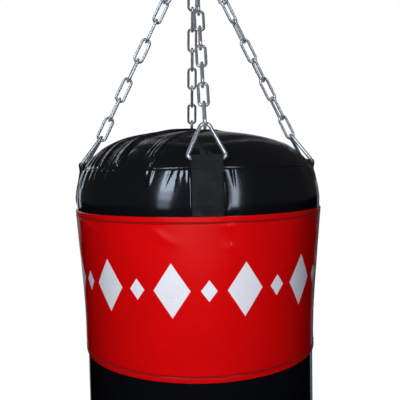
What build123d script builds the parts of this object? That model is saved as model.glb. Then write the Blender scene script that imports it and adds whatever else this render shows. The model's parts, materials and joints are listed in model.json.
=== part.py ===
from build123d import *
from math import asin, atan2, cos, degrees, hypot, pi, radians, sin, sqrt, tan
import os

# A heavy bag that hangs on four chains. The origin is the point inside the top of the snap hook
# that bears on the ceiling bracket, +Z is up, and the front strap faces -Y. Millimetres.

# Snap hook: a pear of round bar in the XZ plane with a sprung gate on its +X side
hook_bar = 10.0
hook_reach = 80.0  # from the bearing point down to the inside of the small end
hook_top_r = 17.0  # bar centre line
hook_base_r = 12.0
gate_bar = 9.0
gate_tongue = 4.0
gate_slot = 4.4
gate_pivot_z = -60.0
nose_z = -17.0  # where the round bar of the nose ends
nose_tongue = 10.0
rivet_r = 1.5
latch_r = 1.25
latch_drop = 5.0  # latch pin below the end of the nose
latch_gap = 0.5
slot_relief = 1.2
end_gap = 0.6  # gate end to bar end

# Swivel: a forged stirrup, an eye bolt turning in its hub, and a thrust ball bearing under the nut
stirrup_bar = 9.0
stirrup_half_width = 19.0  # leg centre lines
stem_r = 5.0
stem_gap = 0.05
hub_height = 12.0
hub_r = 13.0
hub_plate = 18.0
race_r = 12.0
race_height = 3.0
race_gap = 3.0  # between the two races
ball_r = 2.38
ball_circle_r = 8.5
ball_count = 9
groove_gap = 0.07
cage_height = 1.6
cage_rim = 0.8  # cage metal left outside and inside the balls
nut_across = 16.0
nut_height = 8.0
nut_crown = 3.0
split_pin_r = 0.8
split_pin_shank = 9.6  # stem axis to where the legs part
split_pin_leg = 3.0
split_pin_bend = 50.0
stem_tip = 1.5  # stem above the nut
stem_to_hook = 6.0  # stem top to the underside of the hook
collar_r = 9.0
collar_height = 4.0
collar_gap = 0.5
eye_bar = 8.0
eye_inner_r = 12.0
seat_gap = 0.05  # between bars that hang on each other

# Bridle ring and chains
bridle_bar = 7.0
bridle_inner_r = 34.0
bridle_spread = 2.6  # front and back links stand this far each side of the ring's lowest point
link_wire = 4.0
link_pitch = 32.0
link_width = 16.0
link_gap = 0.1
links_per_chain = 9
side_turn = 15.0  # the side chains' lowest link is turned this much, and the turn dies out upwards
twist_links = 3  # a chain that meets the bridle ring a quarter turn out makes it up over these top links
weld_bead_r = 2.3
weld_bead_length = 2.0

# Delta rings
ring_wire = 5.0
ring_width = 50.0
ring_height = 49.0  # bar centre to apex centre
ring_corner_r = 4.0  # centre line
ring_apex_r = 7.0
side_lean = 34.5  # the side rings lie against the shoulder

# Bag shell, measured from the shoulder seam
bar_rise = 12.5  # front and back ring bars above the seam
shell_wall = 1.2
body_r = 168.0
shoulder_out = 0.5  # shoulder seam outside the straight body
bar_out = 1.2  # lower bars of the rings outside the shoulder seam
flare = 10.4  # widest line outside the straight body
flare_drop = 54.0
taper_lean = 4.0  # the side leans in by this below the flare
fade_r = 1000.0  # curve from the taper into the straight body
bag_drop = 1250.0  # shoulder seam to base seam
crown_rise = 55.5
shoulder_run = 64.5  # width of the curve between the flat crown and the shoulder seam
crown_edge_rise = 43.5
base_rise = 16.0
base_run = 28.0
base_edge_rise = 13.5

# Red band and the straps that it covers
band_drop = 56.6
band_width = 204.0
band_wall = 1.2
band_core = 60.0  # depth that the band is drawn to before its inside is cut away
strap_width = 38.0
strap_wall = 2.0
strap_drop = 245.0
fold_drop = 45.0  # the folded end is sewn down to here
cloth_gap = 0.3
loop_gap = 0.2

# Filling
foam_wall = 15.0
base_pad_height = 30.0

os.makedirs("parts", exist_ok=True)


def save(piece, label):
    """Label a finished sub-part and write it to its own STEP file."""
    piece.part.label = label
    export_step(piece.part, f"parts/{label}.step")


def upright(height, azimuth=0.0):
    """A vertical plane through the bag's axis: x runs outwards at the azimuth, y up from the height."""
    out = Vector(cos(radians(azimuth)), sin(radians(azimuth)), 0)
    return Plane(origin=(0, 0, height), x_dir=out, z_dir=out.cross(Vector(0, 0, 1)))


shoulder_r = body_r + shoulder_out
flare_r = body_r + flare
ring_bar_r = shoulder_r + bar_out
crown_r = shoulder_r - shoulder_run
base_crown_r = body_r - base_run

# Heights down the hanger
hook_base_z = -hook_reach - hook_bar / 2
stirrup_top_z = -hook_reach + stirrup_bar / 2 + seat_gap
stem_top_z = -hook_reach - hook_bar - stem_to_hook
nut_base_z = stem_top_z - stem_tip - nut_height
upper_race_z = nut_base_z - race_height
lower_race_z = upper_race_z - race_gap - race_height
ball_z = upper_race_z - race_gap / 2
hub_base_z = lower_race_z - hub_height
collar_z = hub_base_z - collar_gap - collar_height
eye_r = eye_inner_r + eye_bar / 2
eye_z = collar_z - eye_r + 1.0  # the eye's bar runs 1 mm up into the collar
eye_base_z = eye_z - eye_r
bridle_r = bridle_inner_r + bridle_bar / 2
bridle_z = eye_base_z + eye_bar / 2 + bridle_bar / 2 + seat_gap - bridle_r

# ---------------------------------------------------------------- snap hook
hook_top_z = hook_bar / 2 - hook_top_r
hook_low_z = hook_base_z + hook_base_r
splay = asin((hook_top_r - hook_base_r) / (hook_top_z - hook_low_z))
top_x, top_end_z = hook_top_r * cos(splay), hook_top_z - hook_top_r * sin(splay)
low_x, low_end_z = hook_base_r * cos(splay), hook_low_z - hook_base_r * sin(splay)


def on_gate_line(z):
    """A point of the +X flank's centre line at a height."""
    share = (z - low_end_z) / (top_end_z - low_end_z)
    return Vector(low_x + share * (top_x - low_x), 0, z)


flank_up = (on_gate_line(top_end_z) - on_gate_line(low_end_z)).normalized()
pivot = on_gate_line(gate_pivot_z)
pivot_end = pivot - flank_up * (gate_bar / 2 + end_gap)
nose_end = on_gate_line(nose_z)
latch = nose_end - flank_up * latch_drop
gate_length = (nose_end - pivot).length - end_gap
gate_face = Plane(origin=pivot, x_dir=flank_up, z_dir=(0, -1, 0))

with BuildPart() as hook_body:
    with BuildLine(Plane.XZ) as hook_line:
        Line((nose_end.X, nose_end.Z), (top_x, top_end_z))
        CenterArc((0, hook_top_z), hook_top_r, -degrees(splay), 180 + 2 * degrees(splay))
        Line((-top_x, top_end_z), (-low_x, low_end_z))
        CenterArc((0, hook_low_z), hook_base_r, 180 + degrees(splay), 180 - 2 * degrees(splay))
        Line((low_x, low_end_z), (pivot_end.X, pivot_end.Z))
    with BuildSketch(Plane(origin=nose_end, z_dir=flank_up)):
        Circle(hook_bar / 2)
    sweep(path=hook_line.wire())
    with BuildSketch(gate_face):
        Circle(gate_bar / 2)
        Rectangle(gate_bar / 2 + 3 * end_gap, gate_bar, align=(Align.MAX, Align.CENTER))
        nose_foot = (nose_end - pivot).length
        with Locations((nose_foot - nose_tongue / 2 + end_gap, 0)):
            RectangleRounded(nose_tongue + 2 * end_gap, gate_bar - 1, 1)
    extrude(amount=gate_tongue / 2, both=True)
    with BuildSketch(gate_face):
        Circle(rivet_r + stem_gap)
        with Locations((nose_foot - latch_drop, 0)):
            Circle(latch_r + latch_gap)
            Rectangle(2 * (latch_r + latch_gap), gate_bar, align=(Align.CENTER, Align.MIN))
    extrude(amount=gate_tongue, both=True, mode=Mode.SUBTRACT)
save(hook_body, "hook_body")

with BuildPart() as hook_gate:
    with BuildSketch(Plane(origin=pivot - flank_up * gate_bar / 2, z_dir=flank_up)):
        Circle(gate_bar / 2)
    extrude(amount=gate_length + gate_bar / 2)
    with BuildSketch(gate_face):
        Circle(gate_bar / 2)
        Rectangle(gate_length, gate_bar, align=(Align.MIN, Align.CENTER))
    extrude(amount=gate_bar, both=True, mode=Mode.INTERSECT)
    with BuildSketch(gate_face):
        with Locations((-gate_bar, 0)):
            Rectangle(gate_bar + gate_bar / 2 + slot_relief, 2 * gate_bar, align=(Align.MIN, Align.CENTER))
        with Locations((nose_foot - nose_tongue - slot_relief, 0)):
            Rectangle(2 * nose_tongue, 2 * gate_bar, align=(Align.MIN, Align.CENTER))
    extrude(amount=gate_slot / 2, both=True, mode=Mode.SUBTRACT)
    with BuildSketch(gate_face):
        Circle(rivet_r + stem_gap)
        with Locations((nose_foot - latch_drop, 0)):
            Circle(latch_r)
    extrude(amount=gate_bar, both=True, mode=Mode.SUBTRACT)
save(hook_gate, "hook_gate")

with BuildPart() as gate_rivet:
    with BuildSketch(gate_face):
        Circle(rivet_r)
    extrude(amount=sqrt((gate_bar / 2) ** 2 - rivet_r**2), both=True)
save(gate_rivet, "gate_rivet")

with BuildPart() as latch_pin:
    with BuildSketch(gate_face):
        with Locations((nose_foot - latch_drop, 0)):
            Circle(latch_r)
    extrude(amount=sqrt((gate_bar / 2) ** 2 - latch_r**2), both=True)
save(latch_pin, "latch_pin")

# ---------------------------------------------------------------- swivel
stirrup_bow_z = stirrup_top_z - stirrup_half_width
hub_middle_z = hub_base_z + hub_height / 2

with BuildPart() as swivel_stirrup:
    with BuildLine(Plane.YZ) as bow:
        Line((stirrup_half_width, hub_middle_z), (stirrup_half_width, stirrup_bow_z))
        CenterArc((0, stirrup_bow_z), stirrup_half_width, 0, 180)
        Line((-stirrup_half_width, stirrup_bow_z), (-stirrup_half_width, hub_middle_z))
    with BuildSketch(Plane(origin=(0, stirrup_half_width, hub_middle_z))):
        Circle(stirrup_bar / 2)
    sweep(path=bow.wire())
    with BuildSketch(Plane.XY.offset(hub_base_z)):
        RectangleRounded(hub_plate, 2 * stirrup_half_width + stirrup_bar, stirrup_bar / 2)
        Circle(hub_r)
    extrude(amount=hub_height)
    with BuildSketch(Plane.XY.offset(hub_base_z)):
        Circle(stem_r + stem_gap)
    extrude(amount=hub_height, mode=Mode.SUBTRACT)
save(swivel_stirrup, "swivel_stirrup")


def race(base_z, bore_r):
    """A flat ring with a groove for the balls in the face that looks at them."""
    with BuildPart() as ring:
        with BuildSketch(Plane.XZ):
            with Locations((bore_r, base_z)):
                Rectangle(race_r - bore_r, race_height, align=(Align.MIN, Align.MIN))
            with Locations((ball_circle_r, ball_z)):
                Circle(ball_r + groove_gap, mode=Mode.SUBTRACT)
        revolve(axis=Axis.Z)
    return ring


save(race(lower_race_z, stem_r + 4 * stem_gap), "lower_race")
save(race(upper_race_z, stem_r + stem_gap), "upper_race")

with BuildPart(Plane.XY.offset(ball_z)) as bearing_balls:
    with PolarLocations(ball_circle_r, ball_count):
        Sphere(ball_r)
save(bearing_balls, "bearing_balls")

with BuildPart() as ball_cage:
    with BuildSketch(Plane.XY.offset(ball_z)):
        Circle(ball_circle_r + ball_r + cage_rim)
        Circle(ball_circle_r - ball_r - cage_rim, mode=Mode.SUBTRACT)
        with PolarLocations(ball_circle_r, ball_count):
            Circle(ball_r + groove_gap, mode=Mode.SUBTRACT)
    extrude(amount=cage_height / 2, both=True)
save(ball_cage, "ball_cage")

split_pin_z = nut_base_z + nut_height - nut_crown / 2

with BuildPart() as eye_bolt:
    with BuildSketch(Plane.XZ):
        with Locations((0, eye_z + eye_r)):
            Circle(eye_bar / 2)
    revolve(axis=Axis((0, 0, eye_z), (1, 0, 0)))
    with BuildSketch(Plane.XY.offset(collar_z)):
        Circle(collar_r)
    extrude(amount=collar_height)
    with BuildSketch(Plane.XY.offset(collar_z)):
        Circle(stem_r)
    extrude(amount=stem_top_z - collar_z)
    with BuildSketch(Plane.YZ):
        with Locations((0, split_pin_z)):
            Circle(split_pin_r + stem_gap)
    extrude(amount=2 * stem_r, both=True, mode=Mode.SUBTRACT)
save(eye_bolt, "eye_bolt")

with BuildPart() as castle_nut:
    with BuildSketch(Plane.XY.offset(nut_base_z)):
        RegularPolygon(nut_across / 2, 6, major_radius=False)
        Circle(stem_r + stem_gap, mode=Mode.SUBTRACT)
    extrude(amount=nut_height)
    with BuildSketch(Plane.XY.offset(nut_base_z + nut_height - nut_crown)):
        with PolarLocations(0, 3):
            Rectangle(2 * nut_across, 3 * split_pin_r)
    extrude(amount=nut_crown, mode=Mode.SUBTRACT)
save(castle_nut, "castle_nut")

with BuildPart() as split_pin:
    eye_x = split_pin_shank
    with BuildSketch(Plane.YZ.offset(-split_pin_shank)):
        with Locations((0, split_pin_z)):
            Circle(split_pin_r)
    extrude(amount=split_pin_shank + eye_x)
    with BuildSketch(Plane.XZ):
        with Locations((eye_x + 4 * split_pin_r, split_pin_z)):
            Circle(split_pin_r)
    revolve(axis=Axis((eye_x + 2 * split_pin_r, 0, split_pin_z), (0, 0, 1)))
    for bend in (-split_pin_bend, split_pin_bend):
        with BuildSketch(Plane(origin=(-split_pin_shank, 0, split_pin_z), z_dir=Vector(-1, 0, 0).rotate(Axis.Y, bend))):
            Circle(split_pin_r * 0.6)
        extrude(amount=split_pin_leg)
save(split_pin, "split_pin")

# ---------------------------------------------------------------- bridle ring and chains
with BuildPart() as bridle_ring:
    with BuildSketch(Plane.XY.offset(bridle_z)):
        with Locations((bridle_r, 0)):
            Circle(bridle_bar / 2)
    revolve(axis=Axis((0, 0, bridle_z), (0, 1, 0)))
save(bridle_ring, "bridle_ring")

link_bend_r = (link_width - link_wire) / 2
link_end = (link_pitch + link_wire) / 2  # link centre to the wire's centre at its end
link_step = link_pitch - link_gap
first_link = link_end - (ring_wire + link_wire) / 2 - link_gap  # ring apex to the first link's centre
last_link = link_end - (bridle_bar + link_wire) / 2 - link_gap  # last link's centre to the bridle bar
chain_reach = first_link + (links_per_chain - 1) * link_step + last_link

with BuildPart() as chain_link:
    straight = link_end - link_bend_r
    with BuildLine(Plane.XZ) as link_line:
        Line((link_bend_r, -straight), (link_bend_r, straight))
        CenterArc((0, straight), link_bend_r, 0, 180)
        Line((-link_bend_r, straight), (-link_bend_r, -straight))
        CenterArc((0, -straight), link_bend_r, 180, 180)
    with BuildSketch(Plane(origin=(link_bend_r, 0, -straight))):
        Circle(link_wire / 2)
    sweep(path=link_line.wire())
    with BuildSketch(Plane.XY.offset(-weld_bead_length / 2)):
        with Locations((link_bend_r, 0)):
            Circle(weld_bead_r)
    extrude(amount=weld_bead_length)

corner_x = (ring_width - ring_wire) / 2 - ring_corner_r
apex_y = ring_height - ring_apex_r
flank_rise = apex_y - ring_corner_r
# direction square to the ring's right-hand side
side_angle = degrees(
    atan2(corner_x, flank_rise) + asin((ring_corner_r - ring_apex_r) / hypot(corner_x, flank_rise))
)

with BuildPart() as delta_ring:
    with BuildLine() as ring_line:
        Line((0, 0), (corner_x, 0))
        right = CenterArc((corner_x, ring_corner_r), ring_corner_r, -90, 90 + side_angle)
        apex_arc = CenterArc((0, apex_y), ring_apex_r, side_angle, 180 - 2 * side_angle)
        left = CenterArc((-corner_x, ring_corner_r), ring_corner_r, 180 - side_angle, 90 + side_angle)
        Line(right @ 1, apex_arc @ 0)
        Line(apex_arc @ 1, left @ 0)
        Line(left @ 1, (0, 0))
    with BuildSketch(Plane.YZ):
        Circle(ring_wire / 2)
    sweep(path=ring_line.wire())


def leg_frame(azimuth, apex, target):
    """The direction of a chain and the side direction that its first link lies across."""
    along = (target - apex).normalized()
    side = Vector(-sin(radians(azimuth)), cos(radians(azimuth)), 0)
    return along, along.cross(side).normalized()


def hang_chain(label, azimuth, apex, target, turn):
    """Place the links from the ring's apex up, each a quarter turn on from the last and turn(k) more."""
    along, across = leg_frame(azimuth, apex, target)
    seats = []
    for k in range(links_per_chain):
        centre = apex + along * (first_link + k * link_step)
        angle = radians(90 * k + turn(k / (links_per_chain - 1)))
        wide = across * cos(angle) + along.cross(across) * sin(angle)
        seats.append(Plane(origin=centre, x_dir=wide, z_dir=along).location)
    with BuildPart() as chain:
        with Locations(*seats):
            add(chain_link.part)
    save(chain, label)


def top_twist(share, quarters):
    """Turn of a link at a share of the way up, for a chain that makes up quarter turns at its top."""
    return 90 * quarters * max(0, 1 - (1 - share) * (links_per_chain - 1) / twist_links)


def front_twist(share):
    return top_twist(share, (links_per_chain - 1) % 2)


def side_twist(share):
    return side_turn * cos(pi / 2 * share) + top_twist(share, links_per_chain % 2)


# The front and back chains meet the ring's lowest point, and the side chains pull along its plane
low_target_z = bridle_z - sqrt(bridle_r**2 - bridle_spread**2)
front_lean = asin(ring_bar_r / (ring_height + chain_reach))
front_apex_r = ring_bar_r - ring_height * sin(front_lean)
front_apex_z = low_target_z - sqrt(chain_reach**2 - front_apex_r**2 - bridle_spread**2)
front_bar_z = front_apex_z - ring_height * cos(front_lean)
side_apex_r = ring_bar_r - ring_height * sin(radians(side_lean))
side_apex_z = bridle_z - sqrt((chain_reach + bridle_r) ** 2 - side_apex_r**2)
side_bar_z = side_apex_z - ring_height * cos(radians(side_lean))
seam_z = front_bar_z - bar_rise

# name, azimuth, bar height, apex radius and height, where the chain's last link hangs
bridle_low = Vector(bridle_spread, 0, low_target_z)
legs = [
    ("front", -90, front_bar_z, front_apex_r, front_apex_z, bridle_low, front_twist),
    ("back", 90, front_bar_z, front_apex_r, front_apex_z, Vector(-bridle_spread, 0, low_target_z), front_twist),
    ("right", 0, side_bar_z, side_apex_r, side_apex_z, None, side_twist),
    ("left", 180, side_bar_z, side_apex_r, side_apex_z, None, side_twist),
]
for name, azimuth, bar_z, apex_r, apex_z, target, turn in legs:
    out = Vector(cos(radians(azimuth)), sin(radians(azimuth)), 0)
    side = Vector(-sin(radians(azimuth)), cos(radians(azimuth)), 0)
    bar = out * ring_bar_r + Vector(0, 0, bar_z)
    apex = out * apex_r + Vector(0, 0, apex_z)
    seat = Plane(origin=bar, x_dir=side, z_dir=side.cross(apex - bar))
    with BuildPart() as hung_ring:
        with Locations(seat.location):
            add(delta_ring.part)
    save(hung_ring, f"delta_ring_{name}")
    hang_chain(f"chain_{name}", azimuth, apex, target or Vector(0, 0, bridle_z), turn)

# ---------------------------------------------------------------- bag shell and filling
leg_azimuths = [leg[1] for leg in legs]
loop_r = ring_wire / 2 + strap_wall + loop_gap
strap_proud = cloth_gap + strap_wall
foam_proud = -shell_wall - cloth_gap
fill_proud = foam_proud - foam_wall - cloth_gap
taper_run = flare_r - body_r - fade_r * (1 - cos(radians(taper_lean)))
taper_drop = flare_drop + fade_r * sin(radians(taper_lean)) + taper_run / tan(radians(taper_lean))


def flank(proud):
    """Draw the bag's side line, from the seam to the base, standing proud of the side panel."""
    hip = Vector(flare_r + proud, -flare_drop)
    lean = Vector(sin(radians(taper_lean)), cos(radians(taper_lean)))
    Bezier((shoulder_r + proud, 0), hip + lean * flare_drop / 2, hip)
    fade = CenterArc((body_r + fade_r + proud, -taper_drop), fade_r, 180 - taper_lean, taper_lean)
    Line(hip, fade @ 0)
    Line(fade @ 1, (body_r + proud, -bag_drop))


def flank_strip(inner, outer, top, bottom):
    """Draw the strip between two side lines, cut level at the top and bottom."""
    with BuildLine() as outline:
        flank(inner)
        flank(outer)
        Line((shoulder_r + inner, 0), (shoulder_r + outer, 0))
        Line((body_r + inner, -bag_drop), (body_r + outer, -bag_drop))
    make_face(outline.edges())
    with Locations((body_r, (top + bottom) / 2)):
        Rectangle(body_r, top - bottom, mode=Mode.INTERSECT)


def cap_arcs(rise, edge_r, edge_rise, foot_r, inset):
    """Draw a flat crown arc and the shoulder arc that leaves it smoothly and comes down at foot_r."""
    drop = rise - edge_rise
    cap_r = (edge_r**2 + drop**2) / (2 * drop)
    turn = asin(edge_r / cap_r)
    normal = Vector(sin(turn), cos(turn))
    chord = Vector(foot_r - edge_r, -edge_rise)
    corner_r = -(chord.length**2) / (2 * chord.dot(normal))
    corner = Vector(edge_r, edge_rise) - normal * corner_r
    foot_angle = degrees(atan2(-corner.Y, foot_r - corner.X))
    crown = CenterArc((0, rise - cap_r), cap_r - inset, 90 - degrees(turn), degrees(turn))
    shoulder = CenterArc((corner.X, corner.Y), corner_r - inset, foot_angle, 90 - degrees(turn) - foot_angle)
    return crown @ 1, shoulder @ 0


def cap_shell(plane, shape):
    """A shell of one thickness under a cap's arcs."""
    with BuildPart() as shell:
        with BuildSketch(plane):
            with BuildLine():
                top, foot = cap_arcs(*shape, 0)
                inner_top, inner_foot = cap_arcs(*shape, shell_wall)
                Line(top, inner_top)
                Line(foot, inner_foot)
            make_face()
            Rectangle(2 * body_r, body_r, align=(Align.CENTER, Align.MIN), mode=Mode.INTERSECT)
        revolve(axis=Axis.Z)
    return shell


def cap_pad(plane, shape, skirt_r, skirt):
    """A pad that fills a cap, with a straight skirt below it."""
    with BuildPart() as pad:
        with BuildSketch(plane):
            with BuildLine():
                top, foot = cap_arcs(*shape, -foam_proud)
                Line(top, (0, foot.Y))
                Line((0, foot.Y), foot)
            make_face()
            with Locations((0, cloth_gap)):
                Rectangle(2 * body_r, body_r, align=(Align.CENTER, Align.MIN), mode=Mode.INTERSECT)
            if skirt:
                with Locations((0, cloth_gap)):
                    Rectangle(skirt_r, skirt, align=(Align.MIN, Align.MAX))
        revolve(axis=Axis.Z)
    return pad


seam_plane = upright(seam_z)
base_plane = Plane(origin=(0, 0, seam_z - bag_drop), x_dir=(1, 0, 0), z_dir=(0, 1, 0))  # y runs down
crown_shape = (crown_rise, crown_r, crown_edge_rise, shoulder_r)
base_shape = (base_rise, base_crown_r, base_edge_rise, body_r)

save(cap_shell(seam_plane, crown_shape), "top_cover")
save(cap_shell(base_plane, base_shape), "base_panel")
save(cap_pad(seam_plane, crown_shape, shoulder_r, 0), "top_pad")
save(cap_pad(base_plane, base_shape, body_r + fill_proud, base_pad_height), "base_pad")

with BuildPart() as side_panel:
    with BuildSketch(seam_plane):
        flank_strip(-shell_wall, 0, 0, -bag_drop)
    revolve(axis=Axis.Z)
save(side_panel, "side_panel")

fill_base = -bag_drop + base_pad_height
with BuildPart() as foam_wrap:
    with BuildSketch(seam_plane):
        flank_strip(foam_proud - foam_wall, foam_proud, 0, -bag_drop + cloth_gap)
    revolve(axis=Axis.Z)
save(foam_wrap, "foam_wrap")

with BuildPart() as rag_fill:
    with BuildSketch(seam_plane):
        with BuildLine():
            flank(fill_proud)
            Line((shoulder_r + fill_proud, 0), (0, 0))
            Line((0, 0), (0, -bag_drop))
            Line((0, -bag_drop), (body_r + fill_proud, -bag_drop))
        make_face()
        Rectangle(2 * body_r, -fill_base, align=(Align.CENTER, Align.MAX), mode=Mode.INTERSECT)
    revolve(axis=Axis.Z)
save(rag_fill, "rag_fill")

for name, azimuth, bar_z, *_ in legs:
    radial = upright(seam_z, azimuth)
    with BuildPart() as strap:
        with BuildSketch(radial):
            flank_strip(cloth_gap, strap_proud, 0, -strap_drop)
        extrude(amount=strap_width / 2, both=True)
        with BuildSketch(radial):
            flank_strip(strap_proud, strap_proud + strap_wall, 0, -fold_drop)
        extrude(amount=strap_width / 2, both=True)
        with BuildSketch(radial):
            with Locations((ring_bar_r, bar_z - seam_z)):
                Circle(loop_r)
            with Locations((shoulder_r + strap_proud + loop_gap, 0)):
                Rectangle(2 * strap_wall, loop_gap, align=(Align.CENTER, Align.MAX))
            make_hull()
            with Locations((ring_bar_r, bar_z - seam_z)):
                Circle(ring_wire / 2 + loop_gap, mode=Mode.SUBTRACT)
        extrude(amount=strap_width / 2, both=True)
    save(strap, f"strap_{name}")

with BuildPart() as strike_band:
    band_base = -band_drop - band_width
    channel = strap_proud + cloth_gap
    with BuildSketch(seam_plane):
        flank_strip(-band_core, cloth_gap + band_wall, -band_drop, band_base)
    revolve(axis=Axis.Z)
    for azimuth in leg_azimuths:
        with BuildSketch(upright(seam_z, azimuth)):
            flank_strip(-band_core / 2, channel + band_wall, -band_drop, -strap_drop - cloth_gap - band_wall)
        extrude(amount=strap_width / 2 + cloth_gap + band_wall, both=True)
    with BuildSketch(seam_plane):
        flank_strip(-2 * band_core, cloth_gap, 0, -bag_drop)
    revolve(axis=Axis.Z, mode=Mode.SUBTRACT)
    for azimuth in leg_azimuths:
        with BuildSketch(upright(seam_z, azimuth)):
            flank_strip(-2 * band_core, channel, 0, -strap_drop - cloth_gap)
        extrude(amount=strap_width / 2 + cloth_gap, both=True, mode=Mode.SUBTRACT)
save(strike_band, "strike_band")
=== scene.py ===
"""Looks for a hanging heavy bag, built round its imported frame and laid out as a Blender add-on."""

import json
import math

import bpy
import numpy as np
from bpy.props import FloatProperty, FloatVectorProperty, IntProperty, PointerProperty
from bpy.types import Operator, Panel, PropertyGroup
from mathutils import Matrix, Quaternion, Vector


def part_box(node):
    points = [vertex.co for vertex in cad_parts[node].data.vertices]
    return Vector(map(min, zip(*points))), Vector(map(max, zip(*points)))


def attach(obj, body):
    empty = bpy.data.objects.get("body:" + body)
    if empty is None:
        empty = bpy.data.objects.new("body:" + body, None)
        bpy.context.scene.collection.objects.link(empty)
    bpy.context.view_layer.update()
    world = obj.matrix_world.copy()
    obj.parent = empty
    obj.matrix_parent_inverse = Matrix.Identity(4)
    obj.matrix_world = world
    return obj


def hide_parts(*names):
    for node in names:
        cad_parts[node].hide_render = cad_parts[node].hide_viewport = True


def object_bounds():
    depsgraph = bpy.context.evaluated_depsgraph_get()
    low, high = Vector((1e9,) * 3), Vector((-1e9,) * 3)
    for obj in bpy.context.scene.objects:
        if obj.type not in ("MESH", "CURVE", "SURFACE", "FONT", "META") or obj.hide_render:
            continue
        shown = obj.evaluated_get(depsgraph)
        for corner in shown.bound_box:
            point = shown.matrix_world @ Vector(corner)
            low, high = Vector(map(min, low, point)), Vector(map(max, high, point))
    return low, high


bl_info = {
    "name": "Hanging heavy bag",
    "version": (1, 0, 0),
    "blender": (4, 5, 0),
    "location": "3D View > Sidebar > Heavy bag",
    "description": "Builds the skins, webbing, stitching, finishes and studio of a hanging heavy bag",
    "category": "Add Mesh",
}

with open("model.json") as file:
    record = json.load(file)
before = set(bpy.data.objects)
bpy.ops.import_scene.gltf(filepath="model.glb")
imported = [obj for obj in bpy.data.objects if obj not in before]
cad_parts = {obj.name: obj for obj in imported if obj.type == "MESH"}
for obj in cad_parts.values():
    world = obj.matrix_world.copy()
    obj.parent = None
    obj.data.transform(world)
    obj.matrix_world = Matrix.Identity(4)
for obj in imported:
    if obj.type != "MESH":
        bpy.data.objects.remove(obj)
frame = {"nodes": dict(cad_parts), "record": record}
CAD_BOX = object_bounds()
MM = 0.001
SEAM_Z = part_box("side_panel")[1][2]
BASE_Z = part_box("side_panel")[0][2]
BAG = "bag"
FRONT = -90.0  # degrees to the front from the right, where the tables' degrees start
STRAPS = {"front": FRONT, "right": 0.0, "back": 90.0, "left": 180.0}
STRAP_SETTLE = 18 * MM  # below the seam, where the straps have sunk in fully


def length(name, description, default):
    """A length property in metres from a default in millimetres."""
    default *= MM
    return FloatProperty(name=name, description=description, default=default, unit="LENGTH", precision=5)


def colour(name, description, default):
    """A colour property."""
    return FloatVectorProperty(
        name=name, description=description, default=default, size=3, min=0.0, max=1.0, subtype="COLOR"
    )


def tilt(name, description, default):
    """An angle property from a default in radians."""
    return FloatProperty(name=name, description=description, default=default, subtype="ANGLE")


def wattage(name, description, default):
    """A lamp's power in watts."""
    return FloatProperty(name=name, description=description, default=default, unit="POWER")


def faces(name, description, default, fewest):
    """A count of a mesh's faces."""
    return IntProperty(name=name, description=description, default=default, min=fewest)


class BagSizes(PropertyGroup):
    """Sizes of the sewn parts."""

    body_r: length("Body radius", "Radius of the straight part of the bag", 168.0)
    shoulder_out: length("Shoulder", "Shoulder seam outside the straight body", 0.5)
    flare: length("Flare", "Widest line outside the straight body", 10.4)
    flare_drop: length("Flare drop", "Widest line below the shoulder seam", 54.0)
    taper_lean: tilt("Taper", "Lean of the side below the flare", math.radians(4))
    fade_r: length("Fade radius", "Curve from the taper into the straight body", 1000.0)
    crown_rise: length("Crown rise", "Middle of the top above the shoulder seam", 55.5)
    crown_edge_rise: length("Crown edge rise", "Edge of the flat crown above the shoulder seam", 43.5)
    shoulder_run: length("Shoulder run", "Width of the curve between crown and shoulder seam", 64.5)
    skin: length("Vinyl", "Thickness of the vinyl", 1.2)
    lining: length("Lining", "Depth of the skins' hidden inner faces", 3.6)
    ease: length("Ease", "Air between sewn layers", 0.6)
    band_drop: length("Band drop", "Top of the red band below the shoulder seam", 56.6)
    band_width: length("Band width", "Height of the red band", 204.0)
    hem: length("Hem", "Width of the band's sewn hems", 7.5)
    strap_width: length("Webbing width", "Width of the straps", 38.0)
    strap_wall: length("Webbing thickness", "Thickness of the straps", 2.0)
    strap_drop: length("Strap drop", "Lower end of the straps below the shoulder seam", 245.0)
    fold_drop: length("Fold drop", "Lower end of the strap's folded-back part", 45.0)
    rib_pitch: length("Rib pitch", "Distance between the webbing's ribs", 2.4)
    stitch: length("Stitch", "Length of a stitch", 3.4)
    thread_r: length("Thread", "Radius of the sewing thread", 0.4)
    ring_wire: length("Ring wire", "Thickness of the delta rings' wire", 5.0)
    bar_out: length("Bar out", "Lower bars of the delta rings outside the shoulder seam", 1.2)
    strap_sink: length("Strap sink", "Depth that the straps press into the padding", 2.3)


class BagColours(PropertyGroup):
    """Colours of the finishes."""

    black: colour("Black vinyl", "Colour of the bag's body", (0.0045, 0.005, 0.0065))
    red: colour("Red vinyl", "Colour of the band", (0.73, 0.0026, 0.0032))
    print_white: colour("Print", "Colour of the printed lozenges", (0.90, 0.90, 0.95))
    webbing: colour("Webbing", "Colour of the straps", (0.0078, 0.0081, 0.0092))
    zinc: colour("Zinc", "Colour of the plated steel", (0.92, 0.93, 0.95))
    steel: colour("Steel", "Colour of the ground steel", (0.58, 0.58, 0.58))
    brass: colour("Brass", "Colour of the ball cage", (0.70, 0.50, 0.20))


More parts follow.
